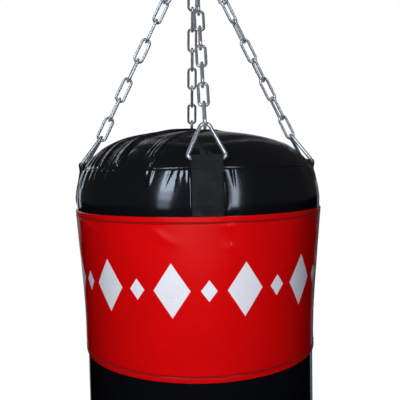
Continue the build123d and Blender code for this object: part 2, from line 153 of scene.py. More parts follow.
class StageLook(PropertyGroup):
    """Camera and light."""

    lens: FloatProperty(name="Lens", description="Focal length on a 36 mm film", default=46.81, unit="CAMERA")
    camera_distance: length("Distance", "Camera to the bag's axis", 785.3)
    camera_rise: length("Camera height", "Height of the camera above the shoulder seam", 1.4)
    camera_turn: tilt("Turn", "Camera round the bag", 0.0671)
    camera_pitch: tilt("Pitch", "Camera downwards", 0.0627)
    camera_roll: tilt("Roll", "Camera about its view", -0.016)
    camera_yaw: tilt("Yaw", "Camera sideways from the axis", 0.0035)
    left_power: wattage("Left", "Power of the front left panels", 9.0)
    right_power: wattage("Right", "Power of the front right panel", 4.8)
    rim_power: wattage("Rims", "Power of the rear left strip", 0.9)
    fill_power: wattage("Fill", "Power of the soft front fill", 2.2)
    lamp_colour: colour("Lamps", "Colour of the panels and strips", (0.68, 0.81, 1.0))
    fill_colour: colour("Fill colour", "Colour of the soft front fill", (1.0, 0.97, 0.95))
    lamp_aim: length("Aim", "Point that the lamps face, below the shoulder seam", 60.0)
    floor_gap: length("Floor gap", "Floor below the bag", 260.0)


# ---- shared modelling helpers
def clear():
    """Leave edit mode and deselect everything."""
    if bpy.context.object and bpy.context.object.mode != "OBJECT":
        bpy.ops.object.mode_set(mode="OBJECT")
    bpy.ops.object.select_all(action="DESELECT")


def coordinates(piece):
    """The piece's vertices as rows of x, y, z."""
    points = np.empty(len(piece.data.vertices) * 3)
    piece.data.vertices.foreach_get("co", points)
    return points.reshape(-1, 3)


def write_coordinates(piece, points):
    """Put the vertices back after they have been moved."""
    piece.data.vertices.foreach_set("co", np.ascontiguousarray(points).ravel())
    piece.data.update()


def edit(piece):
    """Go into edit mode on this piece alone."""
    clear()
    piece.select_set(True)
    bpy.context.view_layer.objects.active = piece
    bpy.ops.object.mode_set(mode="EDIT")


def tidy_surface(piece):
    """Merge the closing seams, make the faces point outwards and smooth the shading."""
    edit(piece)
    bpy.ops.mesh.select_all(action="SELECT")
    bpy.ops.mesh.remove_doubles(threshold=1e-6)
    bpy.ops.mesh.normals_make_consistent(inside=False)
    bpy.ops.object.mode_set(mode="OBJECT")
    bpy.ops.object.shade_smooth_by_angle(angle=math.radians(50))


def wrapped_grid(name, columns, place, along_map):
    """Add a grid, send each vertex to place(angle, row) and close the sheet's seams.

    along_map holds each row's second map coordinate; the first is the share of the way round.
    """
    rows = len(along_map) - 1
    clear()
    bpy.ops.mesh.primitive_grid_add(x_subdivisions=columns, y_subdivisions=rows, size=2)
    piece = bpy.context.object
    piece.name = piece.data.name = name
    grid = coordinates(piece)
    around = (grid[:, 0] + 1) / 2
    row = np.rint((grid[:, 1] + 1) / 2 * rows).astype(int)
    write_coordinates(piece, place(around * 2 * math.pi, row))
    corners = np.empty(len(piece.data.loops), dtype=np.int32)
    piece.data.loops.foreach_get("vertex_index", corners)
    sheet = np.stack([around[corners], np.asarray(along_map)[row[corners]]], axis=1)
    piece.data.uv_layers.active.data.foreach_set("uv", sheet.ravel())
    tidy_surface(piece)
    return piece


def finish(piece, material, body, slot, *nodes):
    """Give the piece its material and its body, and hide the nodes that it stands for. The slot is not used.
    """
    piece.data.materials.clear()
    piece.data.materials.append(material)
    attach(piece, body)
    if nodes:
        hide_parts(*nodes)


def stack(*profiles):
    """Join row profiles, each an array of rows, into one."""
    return np.concatenate(profiles)


def spaced(*runs):
    """Join evenly spaced rows, each run given by its first and last value and their count."""
    return stack(*(np.linspace(*run) for run in runs))


def shell(outer, inner, closed=True):
    """Rows along a skin's outer face and back along its inner one, and 1 for each that is outside."""
    again = outer[: int(closed)]
    outside = stack(np.ones(len(outer)), np.zeros(len(inner)), np.ones(len(again)))
    return stack(outer, inner, again), outside


def bent(start, middle, end):
    """Points along a curve from its start to its end, drawn towards its middle."""
    t = np.linspace(0, 1, 60)[:, None]
    return (1 - t) ** 2 * np.array(start) + 2 * t * (1 - t) * np.array(middle) + t**2 * np.array(end)


def heading(line):
    """Unit vector along a line at each of its points."""
    ahead = np.gradient(line, axis=0)
    return ahead / np.linalg.norm(ahead, axis=1)[:, None]


def distances(line):
    """Distance along a line of points to each of them."""
    return stack([0], np.cumsum(np.linalg.norm(np.diff(line, axis=0), axis=1)))


def sizes():
    """The bag's sizes, in metres."""
    return bpy.context.scene.bag_sizes


# Slow unevenness of the skins: seed, how many waves, fewest and most of their turns round the bag
UNEVEN = {
    "crown": (11, 9, 2, 9),
    "upper side": (5, 8, 3, 14),
    "lower side": (23, 8, 2, 7),
    "base": (31, 7, 2, 8),
    "band's upper part": (41, 9, 5, 19),
    "band": (43, 7, 2, 7),
}


def ripple(angle, height, skin):
    """Unevenness of a skin over angle and height, kept within about one."""
    seed, count, fewest, most = UNEVEN[skin]
    rng = np.random.default_rng(seed)
    turns = rng.integers(fewest, most, count)
    rises = rng.uniform(-1, 1, count) * most * 1.4
    phases = rng.uniform(0, 2 * math.pi, count)
    shares = rng.uniform(0.4, 1, count)
    bank = zip(turns, rises, phases, shares)
    total = sum(share * np.sin(turn * angle + rise * height + phase) for turn, rise, phase, share in bank)
    return total / math.sqrt(count)


def turn_gap(angle, degrees):
    """Signed angle from a direction in degrees, wrapped to half a turn."""
    return (angle - np.radians(degrees) + math.pi) % (2 * math.pi) - math.pi


def from_strap(angle):
    """Distance round the bag to the nearest strap's middle, in metres."""
    return np.min([np.abs(turn_gap(angle, strap)) for strap in STRAPS.values()], axis=0) * sizes().body_r


def smooth(value):
    """Ease a share between 0 and 1."""
    share = np.clip(value, 0, 1)
    return share * share * (3 - 2 * share)


def bell(away):
    """One at the middle, falling to nothing past a few half widths."""
    return np.exp(-(away**2))


def on_round(angle, radius, height):
    """Rows of x, y, z from an angle, a radius and a height."""
    return np.stack([radius * np.cos(angle), radius * np.sin(angle), height], axis=1)


# ---- the bag's own lines
def side_radius(drop):
    """Radius of the side at a distance below the shoulder seam."""
    s = sizes()
    lean = s.taper_lean
    hip = np.array([s.body_r + s.flare, s.flare_drop])
    bend = hip + np.array([math.sin(lean), -math.cos(lean)]) * s.flare_drop / 2
    swell = bent((s.body_r + s.shoulder_out, 0.0), bend, hip)
    run = s.flare - s.fade_r * (1 - math.cos(lean))
    taper_end = s.flare_drop + s.fade_r * math.sin(lean) + run / math.tan(lean)
    turn = np.linspace(lean, 0, 20)
    fade = np.stack([s.body_r + s.fade_r * (1 - np.cos(turn)), taper_end - s.fade_r * np.sin(turn)], axis=1)
    line = stack(swell, fade, [[s.body_r, SEAM_Z - BASE_Z]])
    return np.interp(drop, line[:, 1], line[:, 0])


def crown_line(steps):
    """Radius and height of the top at shares of the way from its middle to the seam, and its length."""
    s = sizes()
    foot = s.body_r + s.shoulder_out
    edge = foot - s.shoulder_run
    fall = s.crown_rise - s.crown_edge_rise
    cap_r = (edge**2 + fall**2) / (2 * fall)
    turn = math.asin(edge / cap_r)
    normal = np.array([math.sin(turn), math.cos(turn)])
    chord = np.array([s.shoulder_run, -s.crown_edge_rise])
    corner_r = -(chord @ chord) / (2 * (chord @ normal))
    corner = np.array([edge, s.crown_edge_rise]) - normal * corner_r
    last = math.atan2(foot - corner[0], -corner[1])
    crown = np.linspace(0, turn, 60)
    bend = np.linspace(turn, last, 60)
    radius = stack(cap_r * np.sin(crown), corner[0] + corner_r * np.sin(bend))
    height = stack(s.crown_rise - cap_r + cap_r * np.cos(crown), corner[1] + corner_r * np.cos(bend))
    run = distances(np.stack([radius, height], axis=1))
    at = steps * run[-1]
    return np.interp(at, run, radius), np.interp(at, run, height), run[-1]


# Folds of the top run side by side in families. A family is a curve in millimetres on plan (front towards
# -y), given by its outer end, middle and inner end, and its folds: distance to the left of it, height, width
# on the left and on the right
CROWN_FOLDS = [
    (
        ((-124, -155), (-108, -92), (64, 57)),
        [
            (0, 4.0, 7.5, 1.9), (7, 1.0, 3.0, 1.4), (13, 1.5, 3.4, 1.6), (20, 1.0, 3.0, 1.5),
            (30, 3.0, 7, 1.9), (37, 1.2, 3.0, 1.6), (48, 2.8, 6, 2.2), (60, 2.2, 6, 2.4),
            (74, 2.0, 6, 2.6), (92, 1.6, 6, 3.0),
        ],
    ),
    (
        ((-80, -168), (-68, -147), (60, 10)),
        [(0, 2.6, 5.5, 1.7), (5.5, 1.0, 2.4, 1.3), (11, 0.8, 2.6, 1.6), (-8, 0.8, 2.4, 1.8)],
    ),
    (((114, -140), (120, -102), (104, -54)), [(0, 0.7, 2.6, 2.6), (-8, 0.9, 3.0, 2.2)]),
    (((158, -92), (146, -60), (112, -26)), [(0, 1.0, 4, 3.4), (-12, 0.8, 3.4, 3.0)]),
    (((-150, 110), (-110, 70), (-24, 18)), [(0, 4.0, 7, 3.0), (12, 1.6, 4, 2.6), (-14, 2.4, 6, 3.0)]),
    (((-74, 166), (-58, 112), (-12, 36)), [(0, 3.4, 7, 2.8), (-12, 1.4, 4, 2.4)]),
    (((26, 180), (20, 122), (8, 40)), [(0, 3.6, 7, 3.0), (9, 1.4, 3, 2.2), (-16, 2.2, 5, 2.6)]),
    (((116, 150), (78, 96), (26, 26)), [(0, 3.2, 7, 3.0), (14, 1.8, 4, 2.6)]),
    (((172, 70), (120, 42), (40, 8)), [(0, 2.4, 7, 3.6), (13, 1.4, 4, 3.0)]),
]

# Puckers of the side below the shoulder seam: degrees from the front strap, height and half width in
# millimetres, where it starts and ends below the seam, how far its lower end wanders, in degrees
SIDE_PUCKERS = [
    (-76, 1.2, 5, 0, 46, -3), (-69, 1.6, 4, 0, 34, -3), (-63, 1.6, 3.4, 0, 30, -3),
    (-57.6, 1.4, 2.6, 0, 20, -2), (-54.0, 2.0, 2.4, 0, 20, -0.6), (-49.6, 1.5, 2.2, 0, 9, 0),
    (-45.2, 1.8, 2.6, 0, 24, -2.6), (-41.6, 2.2, 3.6, 0, 17, -0.8), (-25.4, 1.0, 2.4, 1, 14, 0),
    (-22.6, 1.1, 2.0, 0, 28, -1.4), (4.9, 0.7, 5.5, 46, 80, 0), (4.9, 1.4, 5.5, 53, 84, 0),
    (30, 0.4, 6, 0, 24, 0), (48, 0.8, 4, 0, 20, 2), (59, 1.5, 3.6, 0, 26, 2), (66, 1.2, 4, 0, 30, 2),
    (76, 1.2, 4, 0, 34, 2), (98, 1.5, 4, 0, 28, 1), (110, 2.0, 4, 0, 24, -2), (136, 2.2, 4, 0, 26, 0),
    (149, 1.4, 5, 0, 30, 2), (162, 2.0, 4, 0, 36, -2), (187, 2.2, 5, 0, 34, 1), (199, 1.6, 4, 0, 24, -2),
    (211, 2.0, 4, 0, 30, 1), (236, 2.2, 4, 0, 30, 2), (248, 1.5, 4, 0, 26, -1), (260, 1.8, 4, 0, 32, 0),
]

# Laps of the side: the same, for a fold whose right side is steep. One with a negative height is pressed in.
SIDE_LAPS = [
    (-14.9, -0.6, 3.6, 0, 34, -3.4), (-12.75, 0.5, 5.0, 0, 32, -0.8), (-9.9, 0.5, 2.4, 0, 24, -0.3),
    (-8.0, 0.6, 2.4, 1, 34, 0.2), (9.9, -0.75, 3.4, 1, 36, 0.8), (122, -1.4, 5, 0, 34, 2),
    (173, -1.4, 4, 0, 24, 0), (224, -1.4, 5, 0, 28, 0),
]

# Creases of the band: degrees from the front strap, then in millimetres how far below the seam, height, half
# width and half height, and how far it falls per millimetre to the right
BAND_CREASES = [
    (-16.8, 83, 2.0, 12, 4.6, 0.30), (-20.5, 75, 1.2, 11, 4.0, 0.1), (7.4, 69, 1.3, 9, 4.0, 0.2),
    (8.4, 95, 1.7, 8, 5.4, 0.5), (-54, 76, 1.2, 22, 5.0, 0.25), (38, 120, 0.8, 16, 9.0, -0.4),
    (62, 92, 1.2, 20, 6.0, 0.2), (105, 86, 1.4, 18, 5.5, -0.2), (151, 98, 1.2, 16, 6.0, 0.3),
    (190, 80, 1.4, 15, 5.0, -0.3), (238, 90, 1.2, 20, 6.0, 0.2),
]

# Radii in millimetres that turn angles into distances along the side, its back seam and the band
SIDE_ARC_R = 172
BACK_SEAM_ARC_R = 175
BAND_ARC_R = 176


def fold_heights(x, y, line, folds):
    """Height of one family of folds at plan points in millimetres."""
    line = bent(*line)
    near = np.hypot(x[:, None] - line[:, 0], y[:, None] - line[:, 1]).argmin(axis=1)
    gap_x, gap_y = x - line[near, 0], y - line[near, 1]
    ahead_x, ahead_y = heading(line)[near].T
    left = ahead_x * gap_y - ahead_y * gap_x
    beyond = ahead_x * gap_x + ahead_y * gap_y
    share = np.clip(near / (len(line) - 1) + beyond / 160, 0, 1)
    total = np.zeros_like(x)
    for offset, height, wide, steep in folds:
        away = left - offset
        width = np.where(away > 0, wide, steep) * (0.8 + 0.4 * share)
        total += height * np.exp(-(np.abs(away / width) ** 1.5))
        total -= 0.3 * height * bell((away + 2.4 * steep) / (1.3 * steep))  # the furrow beside it
    return total * smooth((1 - share) / 0.25)


class BAG_OT_top_cover(Operator):
    """Build the gathered top cover"""

    bl_idname = "bag.top_cover"
    bl_label = "Top cover"

    columns: faces("Columns", "Faces round the cover", 720, 48)
    rows: faces("Rows", "Faces from the middle to the seam", 116, 12)

    def execute(self, context):
        s = sizes()
        near, at_seam = 0.93, 0.985  # shares of the way where the rows get closer
        near_rows, seam_rows, inner_rows = 13, 11, 12
        steps = stack(
            np.linspace(0, near, self.rows + 1 - near_rows - seam_rows),
            np.linspace(near, at_seam, near_rows + 1)[1:],
            np.linspace(at_seam, 1, seam_rows + 1)[1:],
        )
        outer_r, outer_h, whole = crown_line(steps)
        inner_r, inner_h, _ = crown_line(np.linspace(0, 1, inner_rows + 1))
        radius = stack(outer_r, inner_r[::-1] * (1 - s.lining / s.body_r))
        height = stack(outer_h, inner_h[::-1] - s.lining)
        outside = stack(np.ones(len(steps)), np.zeros(inner_rows + 1))
        run_in = stack((1 - steps) * whole, np.zeros(inner_rows + 1))

        def place(angle, row):
            r, h, shown = radius[row], height[row], outside[row]
            x, y = r * np.cos(angle), r * np.sin(angle)
            lift = sum(fold_heights(x / MM, y / MM, line, folds) for line, folds in CROWN_FOLDS)
            lift += 0.5 * ripple(angle, r * 8, "crown") * smooth(r / (40 * MM))
            edge = run_in[row] / MM
            lift = lift * smooth(edge / 12) + 0.3 * gathers(angle, -1.6 * edge) - seam_tuck(angle, edge)
            lift = lift * MM * shown
            slope = smooth((r - 60 * MM) / (110 * MM)) * 0.9
            return on_round(angle, r + lift * slope, SEAM_Z + h + lift * np.sqrt(1 - slope**2))

        piece = wrapped_grid("top_cover_skin", self.columns, place, radius)
        finish(piece, shared("satin_black_vinyl", vinyl), BAG, "black_vinyl", "top_cover", "top_pad")
        return {"FINISHED"}


def gathers(angle, mm):
    """Height in millimetres of the puckers at a distance below the shoulder seam, or above it if negative."""
    total = np.zeros_like(mm)
    for pucker in SIDE_PUCKERS + SIDE_LAPS:
        middle, height, half, first, last, wander = pucker
        down = np.clip((mm - first) / (last - first), 0, 1)
        away = turn_gap(angle, middle + wander * down + FRONT) * SIDE_ARC_R / half
        fade = (1 - smooth(down)) * smooth((mm - first + 9) / 9)
        if pucker in SIDE_LAPS:
            total += height * fade * np.interp(away / (1.02 - 0.8 * down), (-1, 0.75, 1), (0, 1, 0))
        else:
            total += height * fade * bell(away)
    return total


def seam_tuck(angle, mm):
    """Depth in millimetres that a skin turns in by at a distance from its seam, less at the front left."""
    depth, reach, shallow_at = 1.3, 2.2, -50.0
    shallower = bell(turn_gap(angle, shallow_at + FRONT) / 0.35)
    return (depth - shallower) * np.clip(1 - mm / reach, 0, 1) ** 2


def strap_press(angle, drop):
    """How deep the side is pressed in under a strap, in metres."""
    s = sizes()
    across = smooth((s.strap_width / 2 + 2.5 * MM - from_strap(angle)) / (6 * MM))
    end = smooth((s.strap_drop + 20 * MM - drop) / (30 * MM))
    return s.strap_sink * across * smooth(drop / STRAP_SETTLE) * end


def side_lift(angle, drop):
    """How far the side skin stands off its plain line, in metres."""
    mm = drop / MM
    low = smooth((mm - 40) / 60)
    total = gathers(angle, mm) - seam_tuck(angle, mm)
    total += 0.18 * (1 - low) * smooth(mm / 3) * ripple(angle, drop * 6, "upper side")
    total += 0.4 * low * (1 + ripple(angle, drop * 2, "lower side")) * smooth((1240 - mm) / 60)
    return total * MM - strap_press(angle, drop)


class BAG_OT_side_panel(Operator):
    """Build the black side panel"""

    bl_idname = "bag.side_panel"
    bl_label = "Side panel"

    columns: faces("Columns", "Faces round the panel", 720, 48)

    def execute(self, context):
        s = sizes()
        total = SEAM_Z - BASE_Z
        # Rows in millimetres below the shoulder seam, closest where the side puckers
        runs = ((0, 3, 8), (4, 62, 48), (66, 250, 16), (262, 300, 10), (330, 1215, 30), (1225, total / MM, 8))
        rows, outside = shell(spaced(*runs) * MM, np.linspace(total, 0, 10))

        def place(angle, row):
            drop, shown = rows[row], outside[row]
            bottom = smooth((drop - total + 8 * MM) / (8 * MM)) * 2.0 * MM
            lap_seam = bell(turn_gap(angle, 90) * BACK_SEAM_ARC_R / 1.2) * 0.6 * MM
            lift = (side_lift(angle, drop) - bottom - lap_seam) * shown - s.lining * (1 - shown)
            return on_round(angle, side_radius(drop) + lift, SEAM_Z - drop)

        piece = wrapped_grid("side_panel_skin", self.columns, place, rows)
        gloss = shared("gloss_black_vinyl", vinyl)
        finish(piece, gloss, BAG, "black_vinyl", "side_panel", "foam_wrap", "rag_fill")
        return {"FINISHED"}


class BAG_OT_base_panel(Operator):
    """Build the base panel"""

    bl_idname = "bag.base_panel"
    bl_label = "Base panel"

    columns: faces("Columns", "Faces round the base", 240, 48)

    def execute(self, context):
        s = sizes()
        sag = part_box("base_panel")[1][2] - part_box("base_panel")[0][2]
        rows, outside = shell(spaced((0, 0.9, 16), (0.92, 1, 9)), np.linspace(1, 0, 8), closed=False)

        def place(angle, row):
            q, shown = rows[row], outside[row]
            r = s.body_r * q - 2 * MM * smooth((q - 0.96) / 0.04) * shown - s.lining * (1 - shown) * q
            depth = sag * (1 - q**5) * (1 - 0.12 * q)
            uneven = 1.2 * MM * ripple(angle, q * 0.8, "base") * smooth(q / 0.2) * smooth((1 - q) / 0.1)
            z = BASE_Z - (depth - np.abs(uneven)) * shown - (depth - s.lining) * (1 - shown)
            return on_round(angle, r, z)

        piece = wrapped_grid("base_panel_skin", self.columns, place, rows)
        finish(piece, shared("gloss_black_vinyl", vinyl), BAG, "black_vinyl", "base_panel", "base_pad")
        return {"FINISHED"}


def strap_bump(angle):
    """Share of a strap's thickness that the band rises by at an angle."""
    return smooth((sizes().strap_width / 2 + 26 * MM - from_strap(angle)) / (27 * MM))


def band_radius(angle, drop):
    """Radius of the band's outer face."""
    s = sizes()
    down = drop - s.band_drop
    edge = np.minimum(down, s.band_width - down)
    groove = bell((edge - s.hem) / (1.1 * MM))
    hem = 0.4 * MM * smooth((s.hem - edge) / (1.5 * MM))
    mm = down / MM
    wrinkle = 0.55 * ripple(angle, drop * 5, "band's upper part") * smooth(mm / 12) * smooth((90 - mm) / 60)
    wrinkle += 0.7 * ripple(angle, drop * 2, "band") * smooth(edge / (20 * MM))
    for middle, at, height, wide, high, fall in BAND_CREASES:
        across = turn_gap(angle, middle + FRONT) * BAND_ARC_R
        along = (drop / MM - at - fall * across) / high
        wrinkle += height * np.exp(-(along**2) - (across / wide) ** 2) * smooth(edge / (12 * MM))
    roll = 0.7 * MM * (1 - smooth(edge / (0.9 * MM))) ** 2
    proud = s.skin + s.ease + (s.strap_wall + s.ease - s.strap_sink) * strap_bump(angle)
    return side_radius(drop) + proud + hem - 0.12 * MM * groove + wrinkle * MM - roll


class BAG_OT_strike_band(Operator):
    """Build the red strike band with its hems"""

    bl_idname = "bag.strike_band"
    bl_label = "Strike band"

    columns: faces("Columns", "Faces round the band", 480, 48)

    def execute(self, context):
        s = sizes()
        wide = s.band_width / MM
        # Rows in millimetres from each edge, closest at the hem's stitches
        edge = spaced((0, 1, 4), (2, 6, 5), (6.5, 8.5, 6), (9.5, 14, 4))
        down = stack(edge, np.linspace(18, wide - 18, 46), wide - edge[::-1]) * MM + s.band_drop
        rows, outside = shell(down, np.linspace(down[-1], down[0], 8))

        def place(angle, row):
            drop, shown = rows[row], outside[row]
            return on_round(angle, band_radius(angle, drop) - s.skin * 1.2 * (1 - shown), SEAM_Z - drop)

        share = (rows - s.band_drop) / s.band_width
        piece = wrapped_grid("strike_band_skin", self.columns, place, share)
        finish(piece, shared("gloss_red_vinyl", vinyl), BAG, "red_vinyl", "strike_band")
        return {"FINISHED"}


class BAG_OT_stitching(Operator):
    """Sew the two hems of the band with rows of thread"""

    bl_idname = "bag.stitching"
    bl_label = "Stitching"

    sides: faces("Sides", "Faces round the thread", 5, 3)
    steps: faces("Steps", "Faces along each stitch", 6, 4)

    def execute(self, context):
        s = sizes()
        for name, drop in (("top", s.band_drop + s.hem), ("bottom", s.band_drop + s.band_width - s.hem)):
            finish(self.row(f"hem_stitches_{name}", drop), shared("sewing_thread", thread), BAG, "red_vinyl")
        return {"FINISHED"}

    def row(self, name, drop):
        """One closed row round the band: the thread shows, dips through the vinyl and shows again."""
        s = sizes()
        count = round(2 * math.pi * float(side_radius(drop)) / s.stitch)

        def place(angle, row):
            shown = np.tanh(2.5 * (np.cos(angle * count) + 0.45))
            turn = row / self.sides * 2 * math.pi
            out = s.thread_r * (0.9 * shown - 0.2 + np.cos(turn))
            r = band_radius(angle, np.full_like(angle, drop)) + out
            return on_round(angle, r, SEAM_Z - drop - s.thread_r * np.sin(turn))

        return wrapped_grid(name, count * self.steps, place, np.linspace(0, 1, self.sides + 1))


class BAG_OT_straps(Operator):
    """Build the four webbing straps, looped round their rings"""

    bl_idname = "bag.straps"
    bl_label = "Straps"

    columns: faces("Columns", "Faces across the webbing", 20, 6)
    rows_per_rib: faces("Rows per rib", "Faces along each rib", 4, 2)

    def execute(self, context):
        for name, degrees in STRAPS.items():
            piece = self.strap(name, math.radians(degrees))
            finish(piece, shared("ribbed_webbing", webbing), BAG, "webbing", f"strap_{name}")
        return {"FINISHED"}

    def centre_line(self, name):
        """The webbing's middle line from the hidden folded end, over the ring's bar and down the side."""
        s = sizes()
        loop_r = s.ring_wire / 2 + 0.25 * MM + s.strap_wall / 2
        bar_r = s.body_r + s.shoulder_out + s.bar_out
        bar_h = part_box(f"strap_{name}")[1][2] - (loop_r + s.strap_wall / 2) - SEAM_Z
        first = s.ease + s.strap_wall / 2

        def on_side(drop, above=0.0):
            r = side_radius(drop) + first + above - s.strap_sink * smooth(drop / STRAP_SETTLE)
            return np.stack([r, -drop], axis=1)

        turn = np.linspace(math.pi, 0, 16)
        loop = np.stack([bar_r + loop_r * np.cos(turn), bar_h + loop_r * np.sin(turn)], axis=1)
        down = np.linspace(3 * MM, s.strap_drop, 80)
        over_fold = s.strap_wall * 1.02 * smooth((s.fold_drop + 9 * MM - down) / (12 * MM))
        return stack(on_side(np.linspace(s.fold_drop, 5 * MM, 16)), loop, on_side(down, over_fold))

    def strap(self, name, azimuth):
        """One strap: a ribbed tape swept along its centre line and closed at both ends."""
        s = sizes()
        corners = self.centre_line(name)
        run = distances(corners)
        along = np.linspace(0, run[-1], int(run[-1] / s.rib_pitch * self.rows_per_rib))
        line = np.stack([np.interp(along, run, corners[:, 0]), np.interp(along, run, corners[:, 1])], axis=1)
        for _ in range(6):
            line[1:-1] = (line[:-2] + 2 * line[1:-1] + line[2:]) / 4
        r, h = line.T
        ahead_r, ahead_h = heading(line).T
        rib_height, rib = 0.30 * MM, np.sin(along / s.rib_pitch * 2 * math.pi)
        flat = smooth((h + 2 * MM) / (10 * MM))

        def place(angle, row):
            loop = angle / math.pi
            top = loop <= 1
            side = np.where(top, loop * 2 - 1, 3 - loop * 2)
            edge = np.sqrt(np.clip(1 - np.abs(side) ** 14, 0, 1))
            selvedge = 0.16 * MM * bell((np.abs(side) - 0.9) / 0.07)
            ribbed = rib_height * rib[row] * (np.abs(side) < 0.93)
            lift = np.where(top, 1, -1) * (s.strap_wall / 2 * edge + selvedge + ribbed * edge - 0.25 * MM)
            wide = side * s.strap_width / 2
            radius = r[row] - ahead_h[row] * lift - (1 - flat[row]) * wide**2 / (2 * s.body_r)
            x = radius * math.cos(azimuth) - wide * math.sin(azimuth)
            y = radius * math.sin(azimuth) + wide * math.cos(azimuth)
            return np.stack([x, y, SEAM_Z + h[row] + ahead_r[row] * lift], axis=1)

        piece = wrapped_grid(f"strap_webbing_{name}", self.columns * 2, place, along)
        edit(piece)
        bpy.ops.mesh.select_mode(type="EDGE")
        bpy.ops.mesh.select_all(action="DESELECT")
        bpy.ops.mesh.select_non_manifold()
        bpy.ops.mesh.fill()
        bpy.ops.mesh.select_all(action="SELECT")
        bpy.ops.mesh.normals_make_consistent(inside=False)
        bpy.ops.object.mode_set(mode="OBJECT")
        return piece


# ---- finishes
class Value:
    """What comes out of a node. Sums with it add Math nodes."""

    def __init__(self, nodes, socket):
        self.nodes = nodes
        self.socket = socket

    def __add__(self, other):
        return self.nodes.math("ADD", self, other)

    def __sub__(self, other):
        return self.nodes.math("SUBTRACT", self, other)

    def __rsub__(self, other):
        return self.nodes.math("SUBTRACT", other, self)

    def __mul__(self, other):
        return self.nodes.math("MULTIPLY", self, other)

    def __truediv__(self, other):
        return self.nodes.math("DIVIDE", self, other)

    def __abs__(self):
        return self.nodes.math("ABSOLUTE", self)

    def ramp(self, low, high, **reach):
        """Spread the value from low..high to 0..1, or to another reach."""
        node = self.nodes.add("MapRange", clamp=True, Value=self, From_Min=low, From_Max=high, **reach)
        return node["Result"]


class Nodes:
    """Adds nodes to a tree and feeds them constants or Values."""

    def __init__(self, tree):
        self.tree = tree

    def feed(self, value, node, socket):
        """Give a socket a constant or link a Value to it."""
        if isinstance(value, Value):
            self.tree.links.new(value.socket, node.inputs[socket])
        else:
            node.inputs[socket].default_value = value

    def put(self, node, **inputs):
        """Feed a node's sockets by their names; returns its outputs by theirs."""
        for key, value in inputs.items():
            self.feed(value, node, key.replace("_", " "))
        return {output.name: Value(self, output) for output in node.outputs}

    def add(self, kind, **values):
        """A new node's outputs; its settings are in small letters and its sockets have a capital."""
        node = self.tree.nodes.new("ShaderNode" + kind)
        for key in [key for key in values if key[0].islower()]:
            setattr(node, key, values.pop(key))
        return self.put(node, **values)

    def math(self, operation, *values):
        """The result of a calculation."""
        node = self.tree.nodes.new("ShaderNodeMath")
        node.operation = operation
        for place, value in enumerate(values):
            self.feed(value, node, place)
        return Value(self, node.outputs[0])

    def larger(self, first, second):
        """The larger of two values."""
        return self.math("MAXIMUM", first, second)

    def blend(self, share, first, second):
        """Mix two colours. The Mix node's sockets for them share their names, so they go by number."""
        node = self.tree.nodes.new("ShaderNodeMix")
        node.data_type = "RGBA"
        for place, value in ((0, share), (6, first), (7, second)):
            self.feed(value, node, place)
        return Value(self, node.outputs[2])

    def coordinates(self, kind, stretch=(1, 1, 1)):
        """Object, UV or Generated coordinates, stretched along each axis."""
        place = self.add("TexCoord")[kind]
        return place if stretch == (1, 1, 1) else self.add("Mapping", Vector=place, Scale=stretch)["Vector"]

    def split(self, kind):
        """X, Y and Z of coordinates."""
        return self.add("SeparateXYZ", Vector=self.coordinates(kind)).values()

    def noise(self, scale, detail=3.0, roughness=0.5, distortion=0.0, stretch=(1, 1, 1)):
        """Noise over the piece's own coordinates."""
        looks = {"Scale": scale, "Detail": detail, "Roughness": roughness, "Distortion": distortion}
        return self.add("TexNoise", Vector=self.coordinates("Object", stretch), **looks)["Fac"]


def opaque(colour, share=1.0):
    """A colour, or a share of it, with full alpha."""
    return tuple(share * channel for channel in colour) + (1.0,)


COLOURS = ("Colour", "Dust", "Tarnish")  # the groups' sockets that hold a colour


def new_group(name, build, labels):
    """A group in which build turns the inputs with these labels into the outputs."""
    tree = bpy.data.node_groups.new(name, "ShaderNodeTree")

    def sockets(labels, side):
        for label in labels:
            kind = "NodeSocketColor" if label in COLOURS else "NodeSocketFloat"
            tree.interface.new_socket(label, in_out=side, socket_type=kind)

    sockets(labels, "INPUT")
    nodes = Nodes(tree)
    results = build(nodes, nodes.put(tree.nodes.new("NodeGroupInput")))
    sockets(results, "OUTPUT")
    nodes.put(tree.nodes.new("NodeGroupOutput"), **results)
    return tree


def group_node(nodes, name, build, **inputs):
    """Outputs of a shared group's node with its own inputs; the group is made the first time."""
    labels = [key.replace("_", " ") for key in inputs]
    tree = bpy.data.node_groups.get(name) or new_group(name, build, labels)
    return nodes.add("Group", node_tree=tree, **inputs)


def coated_vinyl(nodes, start):
    """Coated vinyl: grain, faint creasing, scuffs and slight colour variation."""
    pores = nodes.add("TexVoronoi", feature="SMOOTH_F1", Vector=nodes.coordinates("Object"), Scale=900.0)
    broad = nodes.noise(22.0, 4.0, 0.55, 0.4)
    soft = nodes.noise(70.0, 3.0, 0.5)
    scuffs = nodes.noise(46.0, 6.0, 0.7, 1.2, (1, 1, 3.5)).ramp(0.60, 0.78)
    wear = scuffs * nodes.noise(6.0, 3.0, 0.6).ramp(0.42, 0.70)
    colour = nodes.blend(wear * 0.10, start["Colour"], start["Dust"])
    return {
        "Colour": nodes.add("HueSaturation", Color=colour, Value=broad * 0.16 + 0.92)["Color"],
        "Roughness": start["Gloss"] + wear * 0.12 + (soft - 0.5) * 0.05,
        "Height": pores["Distance"] * 0.25 + broad * 1.6 + soft * 0.35,
    }


def lozenge_print(nodes, start):
    """Mask of a plain row of lozenges, large and small by turns, from the band's own UV map."""
    turns = start["Around"] * start["Count"] + start["Offset"]
    across = abs(nodes.math("FRACT", turns) - 0.5) / start["Half width"]
    down = abs(start["Down"] - start["Middle"]) / start["Half height"]
    return {"Mask": (across + down).ramp(1.0, 1.02, To_Min=1.0, To_Max=0.0)}


